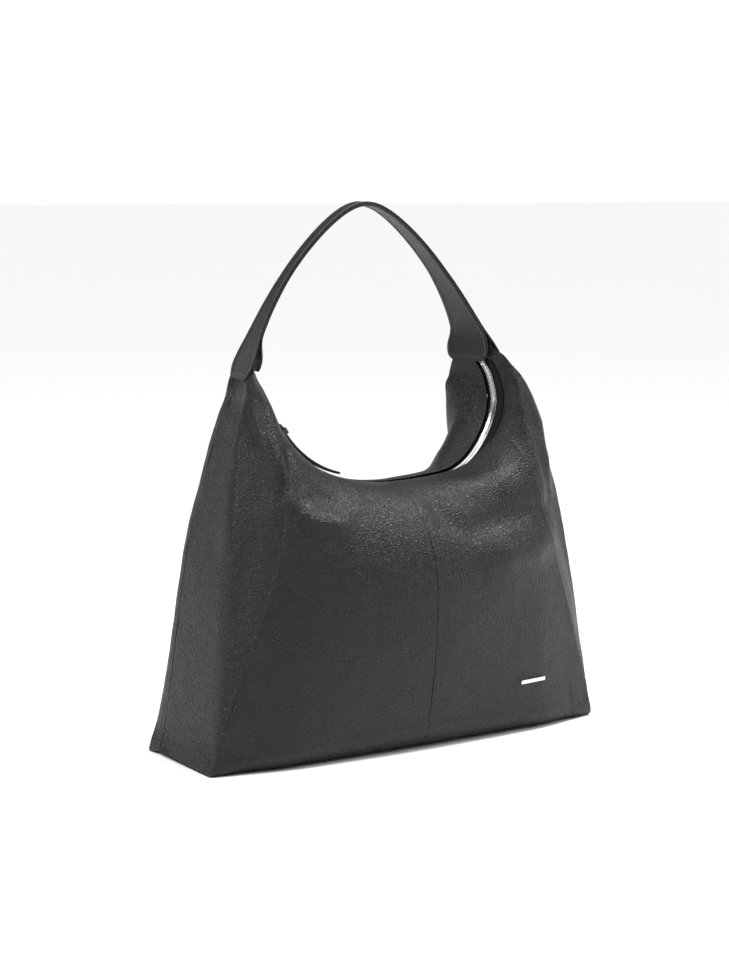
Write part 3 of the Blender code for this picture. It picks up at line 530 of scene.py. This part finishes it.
def board_material():
    n = Nodes("grey_stiffener_board")
    grain = n.noise(300.0, 5.0)
    n.set(Base_Color=n.ramp(grain, [(0.3, (0.20, 0.19, 0.17)), (0.7, (0.30, 0.29, 0.26))]), Roughness=0.9,
          Normal=n.bump(grain, 0.0002, 0.5))
    return n.mat


def thread_material():
    n = Nodes("waxed_thread")
    twist = n.add("ShaderNodeTexWave", {"Scale": 900.0, "Distortion": 1.0, "Vector": n.coords},
                  bands_direction="DIAGONAL").outputs["Fac"]
    n.set(Base_Color=n.ramp(twist, [(0.2, (0.05, 0.049, 0.048)), (0.9, (0.15, 0.147, 0.144))]), Roughness=0.5,
          Normal=n.bump(twist, 0.00005, 0.5))
    return n.mat


def edge_paint_material():
    n = Nodes("edge_paint")
    n.set(Base_Color=n.ramp(n.noise(60.0, 3.0), [(0.3, (0.008, 0.008, 0.008)), (0.7, (0.016, 0.016, 0.016))]),
          Roughness=0.32, Normal=n.bump(n.noise(700.0, 2.0), 0.00005, 0.4))
    return n.mat


# ends of the leather's colour ramp: random tone plus painted shade, dark in the grain's creases and light on
# the cell tops
DARK, LIGHT = (0.0025, 0.0024, 0.0023), (0.007, 0.0068, 0.0066)
LEATHER = leather_material("black_grained_leather", DARK, LIGHT, 0.27, 0.0031, 0.00042)
STRAP_LEATHER = leather_material("black_strap_leather", DARK, LIGHT, 0.31, 0.0024, 0.00030)
EDGE_PAINT = edge_paint_material()
THREAD = thread_material()
SILVER = metal_material("nickel_plated_metal", (0.72, 0.72, 0.71), 0.22)
BLACK_METAL = metal_material("black_lacquered_metal", (0.018, 0.018, 0.018), 0.30, 0.3)
TAPE = woven_material("black_zip_tape", (0.006, 0.006, 0.0065), 0.0007)
LINING = woven_material("black_textile_lining", (0.020, 0.020, 0.023), 0.0009)
BOARD = board_material()
MATERIAL_OF_SLOT = {"grained_leather": LEATHER, "strap_leather": STRAP_LEATHER, "textile_lining": LINING,
                    "zip_tape": TAPE, "stiffener_board": BOARD, "nickel_metal": SILVER,
                    "black_metal": BLACK_METAL}

for row in frame["record"]["subparts"]:
    node = frame["nodes"][row["node"]]
    for slot in node.material_slots:
        slot.material = MATERIAL_OF_SLOT[row["material_slot"]]

# ---- Leather panels -----------------------------------------------------------------------------
SEAM_STEPS = [radians(a) for a in (0, 0, 22, 45, 68, 90)]
RIPPLES = ((0.0007, 0.045, 0), (0.0003, 0.014, 7))      # height, size and seed of the leather's unevenness
DENT_HEIGHTS, DENT_LIMITS = (0.25, 0.28), (-0.0040, -0.0008)      # dents are shallower beside the mouth


def panel_rows():
    """Fan stations over the base and, after the corner, up the side wall."""
    base = [(CORNER_U * t, False) for t in np.concatenate([[0.0, 0.018], np.linspace(0.035, 1, 58)])]
    up = np.linspace(0, 1, 74)
    return base + [(CORNER_U + (1 - CORNER_U) * (0.004 + 0.996 * t), True) for t in up]


def soften_corner(grid, corner, reach=9):
    """The fan turns at the base corner: its depth is averaged over the neighbouring rows."""
    middle = np.linspace(0, 1, sum(COUNTS[:2]))
    share = np.clip(middle / 0.25, 0, 1) * np.clip((1 - middle) / 0.2, 0, 1)
    columns = slice(LIP_COLUMNS, LIP_COLUMNS + len(middle))
    depth = grid[:, columns, 1].copy()
    for i in range(corner - 2 * reach, corner + 2 * reach):
        near = max(0.0, 1 - abs(i - corner) / (2 * reach))
        mean = depth[i - reach:i + reach + 1].mean(axis=0)
        grid[i, columns, 1] += (mean - depth[i]) * share * near


def leather_panel(name, side_x, side_y, seed):
    """One panel with its folds, its turned lip and the rolls into its side seam and centre seam."""
    rows = panel_rows()
    first = next(i for i, row in enumerate(rows) if row[1])
    grid = np.array([section(u, side_x, side_y, wall) for u, wall in rows])
    flip = side_x * side_y < 0
    soften_corner(grid, first)
    normals = grid_normals(grid) * (-1 if flip else 1)
    lift = fold_height(grid, side_x, side_y)
    lift += sum(height * ripple(grid, size, seed + more) for height, size, more in RIPPLES)
    lift = np.maximum(lift, np.interp(grid[..., 2], DENT_HEIGHTS, DENT_LIMITS))
    # the lift fades out at the lip, at the seams and at the horn's tip
    columns = grid.shape[1]
    fade = np.clip((np.arange(columns) - LIP_COLUMNS) / 6.0, 0, 1)
    fade[-1] = 0
    strip = np.clip(np.arange(len(rows)) / 3.0, 0.4, 1)
    high = np.clip((TIP_Z - 0.012 - grid[..., 2]) / 0.02, 0, 1)
    grid = grid + normals * (lift * fade[None, :] * high)[..., None] * strip[:, None, None]
    # side seam: the wall rolls inwards over its last millimetre
    edge = grid[first:, -1, 1][:, None]
    gap = np.abs(grid[first:, :, 1] - edge)
    close = (np.arange(columns) > columns - 12)[None, :] & (gap < SEAM_ROLL)
    drop = np.where(close, SEAM_ROLL - np.sqrt(np.maximum(SEAM_ROLL ** 2 - (SEAM_ROLL - gap) ** 2, 0)), 0)
    grid[first:] -= normals[first:] * drop[..., None]
    # centre seam: extra rows that roll inwards at x = 0
    ref, ref_n = grid[1], normals[1]
    face = np.clip((np.arange(columns) - LIP_COLUMNS) / 3.0, 0, 1)
    extra = []
    for k, a in enumerate(SEAM_STEPS):
        row = ref.copy()
        row[:, 0] = side_x * (SEAM_HALF + SEAM_ROLL * (1 - cos(a)))
        sink = SEAM_ROLL * (1 - sin(a)) + (SEAM_SINK if k == 0 else 0)
        row -= ref_n * (sink * face)[:, None]
        extra.append(row)
    extra = np.array(extra)
    extra[..., 2] = np.maximum(extra[..., 2], FLOOR_CLEAR)
    grid = np.concatenate([extra, grid[1:]])
    obj = link(name + "_leather", grid_mesh(name, grid, flip=flip), LEATHER)
    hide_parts(name)
    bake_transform(obj)


for depth_name, side_y in (("front", -1), ("back", 1)):
    for width_name, side_x in (("left", -1), ("right", 1)):
        leather_panel(f"{depth_name}_{width_name}_panel", side_x, side_y, 3 * side_x + side_y)


# ---- Stitches -----------------------------------------------------------------------------------
def resample(path, pitch, offset=0.0):
    seg = np.linalg.norm(np.diff(path, axis=0), axis=1)
    dist = np.concatenate([[0], np.cumsum(seg)])
    want = np.arange(offset, dist[-1], pitch)
    return np.stack([np.interp(want, dist, path[:, k]) for k in range(path.shape[1])], axis=1)


def stitch_mesh(name, points, normals):
    """Short rounded threads, one for every pair of neighbouring needle holes."""
    bm = bmesh.new()
    both = resample(np.concatenate([points, normals], axis=1), STITCH)
    for k in range(len(both) - 1):
        a, b = both[k][:3], both[k + 1][:3]
        n = both[k][3:] / np.linalg.norm(both[k][3:])
        d = (b - a) / max(np.linalg.norm(b - a), 1e-9)
        side = np.cross(d, n)
        rings = []
        for place, r, sink in STITCH_RINGS:
            c = (a + b) / 2 + d * STITCH_LENGTH * place + n * sink
            rings.append([bm.verts.new(c + STITCH_RADIUS * r * (side * cos(q) + n * sin(q)))
                          for q in np.arange(6) * pi / 3])
        skin_rings(bm, rings)
    return bmesh_to_mesh(bm, name)


# ---- Strap --------------------------------------------------------------------------------------
def strap_frame(t):
    x = t * STRAP_END_X
    z = STRAP_TOP - (hypot(x, STRAP_C) - STRAP_C) - STRAP_K * x ** 4
    slope = -x / hypot(x, STRAP_C) - 4 * STRAP_K * x ** 3
    inward = Vector((slope, 0, -1)).normalized()
    left, right, top, flank = STRAP_TWIST
    twist = radians((left + right + (right - left) * t) / 2 + (top - flank * t) * (1 - t * t))
    across = Vector((sin(twist), cos(twist), 0))
    shift = STRAP_SHIFT * (1 if t < 0 else 1 - t * t)
    return Vector((x + shift, STRAP_Y + SHIFT_Y, z)), inward, across


def inner_depth(z, t):
    return float(table(STRAP_DEPTH_RIGHT if t > 0 else STRAP_DEPTH_LEFT, z)) - STRAP_LAYER


FACE_POINTS, EDGE_POINTS = 15, 5      # of each face and each edge of a leather strip's cross-section


def strap_section(half, thick, round_r=0.0006):
    """Closed cross-section (across, inward) of one leather layer, slightly crowned, with soft edges."""
    turns = [radians(a) for a in (30, 60, 90, 120, 150)]
    pts = [(k * (half - round_r), 0.00045 * (abs(k) ** 3)) for k in np.linspace(-1, 1, FACE_POINTS)]
    pts += [(half - round_r + round_r * sin(a), thick / 2 - (thick / 2) * cos(a)) for a in turns]
    pts += [(k * (half - round_r), thick) for k in np.linspace(1, -1, FACE_POINTS)]
    pts += [(-half + round_r - round_r * sin(a), thick / 2 - (thick / 2) * cos(a)) for a in turns[::-1]]
    return pts


def strap_layer(name, node, depth, end_t, corner_r):
    """One leather layer of the strap, with closer rows of points round its flaps' corners."""
    grid = []
    ends = [1 - 0.5 * (1 - cos(q)) * 0.16 for q in np.linspace(0, pi, 22)]
    ts = [-e for e in ends] + list(np.linspace(-0.84, 0.84, 150)[1:-1]) + ends[::-1]
    for t in [end_t * k for k in ts]:
        point, inward, across = strap_frame(t)
        half = float(table(STRAP_WIDTH, point.z))
        end = (end_t - abs(t)) * STRAP_END_X * FLAP_SLANT
        cut = 0.0
        if end < corner_r:
            cut = corner_r - (corner_r ** 2 - (corner_r - end) ** 2) ** 0.5
        top = point + inward * depth(point.z, t)
        grid.append([tuple(top + across * a + inward * b) for a, b in strap_section(half - cut, STRAP_LAYER)])
    mesh = capped_tube(name, np.array(grid), painted=True)
    obj = link(name, mesh, STRAP_LEATHER, EDGE_PAINT)
    mesh.set_sharp_from_angle(angle=radians(50))
    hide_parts(node)
    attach(obj, HANDLE)


def strap_stitches(name, depth, end_t, corner_r, outward):
    """Row of stitches that follows the outline of a strap layer, on its outward or inward face."""
    path, normals = [], []
    samples = list(np.linspace(-1, 1, 600))
    for sign in (-1, 1):
        for t in samples if sign > 0 else samples[::-1]:
            t = t * (end_t - 0.0017 / STRAP_END_X)
            point, inward, across = strap_frame(t)
            half = float(table(STRAP_WIDTH, point.z)) - STITCH_INSET
            end = (end_t - abs(t)) * STRAP_END_X * FLAP_SLANT - STITCH_INSET
            r = corner_r - STITCH_INSET
            if end < r:
                half -= r - (max(r ** 2 - (r - max(end, 0)) ** 2, 0)) ** 0.5
            face = 0.0001 if outward else STRAP_LAYER
            top = point + inward * (depth(point.z, t) + face) + across * half * sign
            path.append(tuple(top))
            normals.append(tuple(-inward if outward else inward))
    path.append(path[0])
    normals.append(normals[0])
    obj = link(name, stitch_mesh(name, np.array(path), np.array(normals)), THREAD)
    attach(obj, HANDLE)


strap_layer("strap_outer", "strap_outer_layer", lambda z, t: 0.0, 1.0, FLAP_CORNER_R)
strap_layer("strap_inner", "strap_inner_layer", inner_depth, STRAP_INNER_END, FLAP_CORNER_R)
strap_stitches("strap_outer_stitching", lambda z, t: 0.0, 1.0, FLAP_CORNER_R, True)
strap_stitches("strap_inner_stitching", inner_depth, STRAP_INNER_END, FLAP_CORNER_R, False)


# ---- Zip ----------------------------------------------------------------------------------------
def zip_path(steps=500):
    """Points along the whole zip, each with the directions down into the bag and across towards the back."""
    rows = []
    for side_x, last in ((-1, ZIP_END_LEFT), (1, ZIP_END_RIGHT)):
        mouth = MOUTHS[side_x]
        part = []
        for u in np.linspace(0, last, steps):
            s = u * mouth.s3
            here, ahead = mouth.at(s), mouth.at(s + 0.0004)
            along = (ahead - here) / np.linalg.norm(ahead - here)
            down = np.array([along[1], -along[0]])
            y = float(table(ZIP_Y, u))
            p = body_points(side_x, np.array(here[0]), np.array(y), np.array(here[1]))
            rise = RIGHT_ZIP_RISE * table(RIGHT_ZIP_SHARE, u) if side_x > 0 else 0.0
            down = np.array([side_x * down[0], 0, down[1]])
            roll = RIGHT_ZIP_ROLL * rise / RIGHT_ZIP_RISE
            across = np.array([0, cos(roll), 0]) - down * sin(roll)
            part.append(np.concatenate([p - down * rise, down, across]))
        rows = part[::-1] if side_x < 0 else rows + part[1:]
    return np.array(rows)


def zip_teeth(name, node, side_y, phase):
    """Metal teeth crimped on the tape's edge, reaching between those of the other side."""
    path = resample(zip_path(), TOOTH_PITCH, offset=phase * TOOTH_PITCH)
    bm = bmesh.new()
    for k in range(1, len(path) - 1):
        p, down, across = path[k][:3], path[k][3:6], side_y * path[k][6:]
        along = path[k + 1][:3] - path[k - 1][:3]
        along /= np.linalg.norm(along)
        down = down - along * (down @ along)
        down /= np.linalg.norm(down)
        down = np.cross(along, across) * np.sign(np.cross(along, across) @ down)
        rings = []
        for place, half_l, half_h in TOOTH_RINGS:
            c = p + across * place + down * TEETH_DEPTH
            rings.append([bm.verts.new(c + along * half_l * i + down * half_h * j) for i, j in TOOTH_CORNERS])
        skin_rings(bm, rings)
    mesh = bmesh_to_mesh(bm, name)
    obj = link(name, mesh, SILVER)
    mesh.set_sharp_from_angle(angle=radians(35))
    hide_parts(node)
    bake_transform(obj)


zip_teeth("front_teeth", "zip_teeth_front", -1, 0.0)
zip_teeth("back_teeth", "zip_teeth_back", 1, 0.5)


def zip_tape(name, node, side_y):
    """Woven tape under one row of teeth, wide enough to run in under the lip."""
    path = zip_path(160)
    face = path[:, :3] + path[:, 3:6] * TAPE_DEPTH
    cols = [face + side_y * w * path[:, 6:] for w in TAPE_TURNED]
    cols += [face + side_y * w * np.array([0, 1, 0]) for w in TAPE_FLAT]
    grid = np.stack(cols, axis=1)
    obj = link(name, grid_mesh(name, grid, flip=side_y < 0), TAPE)
    thick = obj.modifiers.new("Thickness", "SOLIDIFY")
    thick.thickness = TAPE_THICK
    thick.offset = -1
    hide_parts(node)
    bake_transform(obj)


zip_tape("front_tape", "zip_tape_front", -1)
zip_tape("back_tape", "zip_tape_back", 1)


def pull_tab():
    """Curved leather tab with rounded ends and painted edges."""
    mouth = MOUTHS[-1]
    radius = mouth.corner_r + PULL_DEPTH
    start = SLIDER_ANGLE - PULL_START / radius
    rows = []
    steps = 70
    for i in range(steps + 1):
        s = PULL_LENGTH * (0.5 - 0.5 * cos(pi * i / steps))
        a = start - s / radius
        spot = mouth.at_angle(a, -PULL_DEPTH)
        out = np.array([sin(a), 0, cos(a)])
        end = min(s, PULL_LENGTH - s)
        half = PULL_WIDTH / 2
        if end < PULL_END_R:
            half -= PULL_END_R - (PULL_END_R ** 2 - (PULL_END_R - end) ** 2) ** 0.5
        centre = np.array([-spot[0], ZIP_Y[0][1] + SHIFT_Y, spot[1]])
        ring = []
        for y, z in strap_section(max(half, 0.0008), PULL_THICK, 0.0007):
            ring.append(centre + np.array([0, y, 0]) + out * (PULL_THICK / 2 - z))
        rows.append(ring)
    mesh = capped_tube("pull_tab", np.array(rows), painted=True)
    obj = link("pull_tab", mesh, STRAP_LEATHER, EDGE_PAINT)
    mesh.set_sharp_from_angle(angle=radians(50))
    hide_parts("leather_pull")
    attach(obj, PULL)


pull_tab()


# ---- Pocket ---------------------------------------------------------------------------------------
def pocket_pouch():
    """Flat cloth pouch that hangs behind the lining, a little fuller at its bottom."""
    low, high = (np.array(corner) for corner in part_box("pocket_pouch"))
    wide, deep = 40, 24
    rings = []
    for i in range(deep + 1):
        drop = i / deep
        z = high[2] + (low[2] - high[2]) * drop
        full = 0.35 + 0.65 * sin(pi * min(drop * 0.62 + 0.3, 1.0))
        half_x = (high[0] - low[0]) / 2 * (1 - 0.04 * max(0.0, drop - 0.85) / 0.15)
        ring = []
        for k in range(wide):
            a = 2 * pi * k / wide
            x = (low[0] + high[0]) / 2 + half_x * np.sign(cos(a)) * abs(cos(a)) ** 0.25
            crumple = 0.12 * noise.noise(Vector((x * 30, z * 30, 2.0)))
            y = (low[1] + high[1]) / 2 + (high[1] - low[1]) / 2 * np.clip(full + crumple, 0.1, 1) * sin(a)
            ring.append((x, y, z))
        rings.append(ring)
    obj = link("pocket_pouch_cloth", capped_tube("pocket_pouch_cloth", np.array(rings)), LINING)
    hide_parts("pocket_pouch")
    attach(obj, BODY)


pocket_pouch()


# ---- Floor, light and camera --------------------------------------------------------------------
SKY_STRENGTH = 1.55
SKY = [(0.10, 0.70), (0.16, 0.06), (0.52, 0.07), (0.70, 1.0), (1.0, 1.15)]      # sine of height, brightness
FLOOR_SIZE = 60.0


def build_stage():
    mesh = bpy.data.meshes.new("floor")
    corners = [(FLOOR_SIZE * i, FLOOR_SIZE * j, 0) for i, j in ((-1, -1), (1, -1), (1, 1), (-1, 1))]
    mesh.from_pydata(corners, [], [(0, 1, 2, 3)])
    n = Nodes("white_floor")
    n.set(Base_Color=(0.88, 0.88, 0.88, 1.0), Roughness=0.8, Specular_IOR_Level=0.1)
    floor = link("floor", mesh, n.mat)
    floor.location.z = cad_low[2] - 0.0002
    floor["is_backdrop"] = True
    world = bpy.data.worlds.new("studio")
    bpy.context.scene.world = world
    world.use_nodes = True
    tree = world.node_tree
    direction = tree.nodes.new("ShaderNodeTexCoord").outputs["Generated"]
    height = tree.nodes.new("ShaderNodeSeparateXYZ")
    tree.links.new(direction, height.inputs[0])
    ramp = tree.nodes.new("ShaderNodeValToRGB")
    tree.links.new(height.outputs["Z"], ramp.inputs["Fac"])
    for _ in range(3):
        ramp.color_ramp.elements.new(0.5)
    for element, (z, tone) in zip(ramp.color_ramp.elements, SKY):
        element.position = z
        element.color = (tone, tone, tone, 1)
    background = tree.nodes["Background"]
    tree.links.new(ramp.outputs["Color"], background.inputs["Color"])
    background.inputs["Strength"].default_value = SKY_STRENGTH


def area_light(name, place, target, size, power):
    data = bpy.data.lights.new(name, "AREA")
    data.shape = "RECTANGLE"
    data.size, data.size_y = size
    data.energy = power
    obj = bpy.data.objects.new(name, data)
    bpy.context.scene.collection.objects.link(obj)
    obj.location = place
    obj.rotation_euler = (Vector(target) - Vector(place)).to_track_quat("-Z", "Y").to_euler()


CAMERA_AZIMUTH, CAMERA_ELEVATION = radians(33.48), radians(7.73)
CAMERA_DISTANCE, CAMERA_LENS = 2.106, 81.48
AIM_OFFSET = Vector((-0.010, 0.020, -0.0145))      # from the middle of the CAD box


def build_camera():
    middle = (Vector(cad_low) + Vector(cad_high)) / 2
    aim = middle + AIM_OFFSET
    look = Vector((sin(CAMERA_AZIMUTH) * cos(CAMERA_ELEVATION), cos(CAMERA_AZIMUTH) * cos(CAMERA_ELEVATION),
                   -sin(CAMERA_ELEVATION)))
    data = bpy.data.cameras.new("camera")
    data.lens = CAMERA_LENS
    data.sensor_width = 36.0
    camera = bpy.data.objects.new("camera", data)
    bpy.context.scene.collection.objects.link(camera)
    camera.location = aim - look * CAMERA_DISTANCE
    camera.rotation_euler = look.to_track_quat("-Z", "Y").to_euler()
    bpy.context.scene.camera = camera


build_stage()
area_light("key", (-1.6, -0.3, 1.5), (0, 0, 0.25), (0.3, 0.7), 22)
area_light("top", (0.9, -0.4, 1.9), (0, 0, 0.25), (0.45, 0.35), 32)
area_light("side", (1.9, -0.9, 0.8), (0, 0, 0.25), (0.2, 0.8), 9)
build_camera()
bpy.context.scene.view_settings.view_transform = "Standard"
